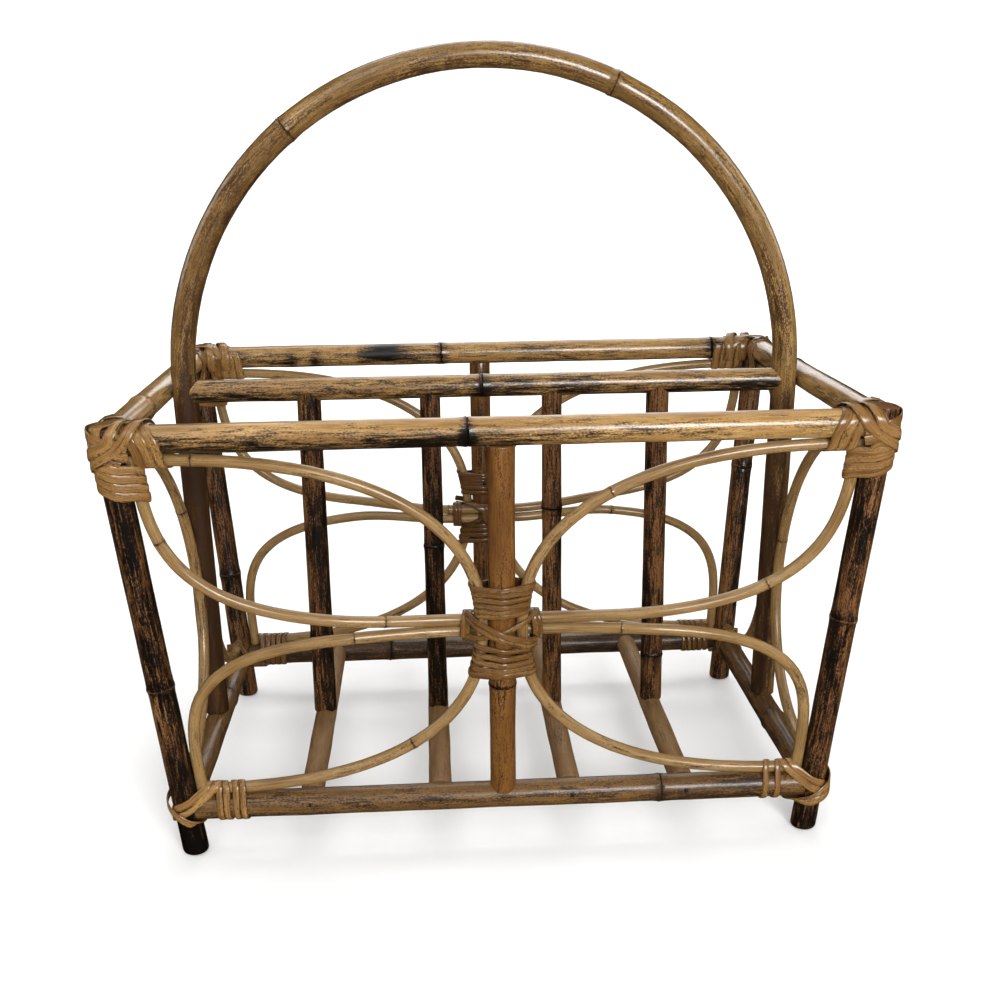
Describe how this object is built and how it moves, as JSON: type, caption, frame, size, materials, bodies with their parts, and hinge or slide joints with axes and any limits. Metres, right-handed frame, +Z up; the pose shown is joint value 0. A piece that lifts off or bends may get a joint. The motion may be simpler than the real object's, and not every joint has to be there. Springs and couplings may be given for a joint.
{
  "type": "magazine basket",
  "caption": "Free-standing magazine basket of lashed rattan poles and bent canes, with open compartments on either side of a spindle divider and an arched carrying handle.",
  "frame": {"origin": "on the floor, under the middle of the basket", "axes": "+X along the basket's long side, to the right seen from the front, +Y from front to back, +Z up"},
  "size_m": [0.4506, 0.305, 0.4816],
  "materials": {
    "scorched_pole": "glossy varnish over scorched rattan",
    "pole": "glossy varnish over tan rattan with burnt streaks",
    "plain_pole": "matt peeled rattan",
    "cane": "glossy varnish over honey cane with brown specks",
    "split_cane": "glossy varnish over flat split cane",
    "nail": "dull wire nail"
  },
  "bodies": {
    "root": {"back_base_rail": "pole", "back_left_base_lashing": "split_cane", "back_left_bow_cane": "cane", "back_left_leg": "scorched_pole", "back_left_rim_lashing": "split_cane", "back_lower_level_cane": "cane", "back_middle_lashing": "split_cane", "back_post": "pole", "back_right_base_lashing": "split_cane", "back_right_bow_cane": "cane", "back_right_leg": "scorched_pole", "back_right_rim_lashing": "split_cane", "back_rim_rail": "pole", "back_slat_nail_1": "nail", "back_slat_nail_2": "nail", "back_slat_nail_3": "nail", "back_slat_nail_4": "nail", "back_upper_level_cane": "cane", "divider_rail": "pole", "floor_slat_1": "plain_pole", "floor_slat_2": "plain_pole", "floor_slat_3": "plain_pole", "floor_slat_4": "plain_pole", "front_base_rail": "pole", "front_left_base_lashing": "split_cane", "front_left_bow_cane": "cane", "front_left_leg": "scorched_pole", "front_left_rim_lashing": "split_cane", "front_lower_level_cane": "cane", "front_middle_lashing": "split_cane", "front_post": "pole", "front_right_base_lashing": "split_cane", "front_right_bow_cane": "cane", "front_right_leg": "scorched_pole", "front_right_rim_lashing": "split_cane", "front_rim_rail": "pole", "front_slat_nail_1": "nail", "front_slat_nail_2": "nail", "front_slat_nail_3": "nail", "front_slat_nail_4": "nail", "front_upper_level_cane": "cane", "handle": "pole", "left_back_side_cane": "cane", "left_base_rail": "pole", "left_front_side_cane": "cane", "left_handle_nail": "nail", "left_rim_rail": "pole", "right_back_side_cane": "cane", "right_base_rail": "pole", "right_front_side_cane": "cane", "right_handle_nail": "nail", "right_rim_rail": "pole", "spindle_1": "scorched_pole", "spindle_2": "scorched_pole", "spindle_3": "scorched_pole", "spindle_4": "scorched_pole"}
  },
  "joints": []
}
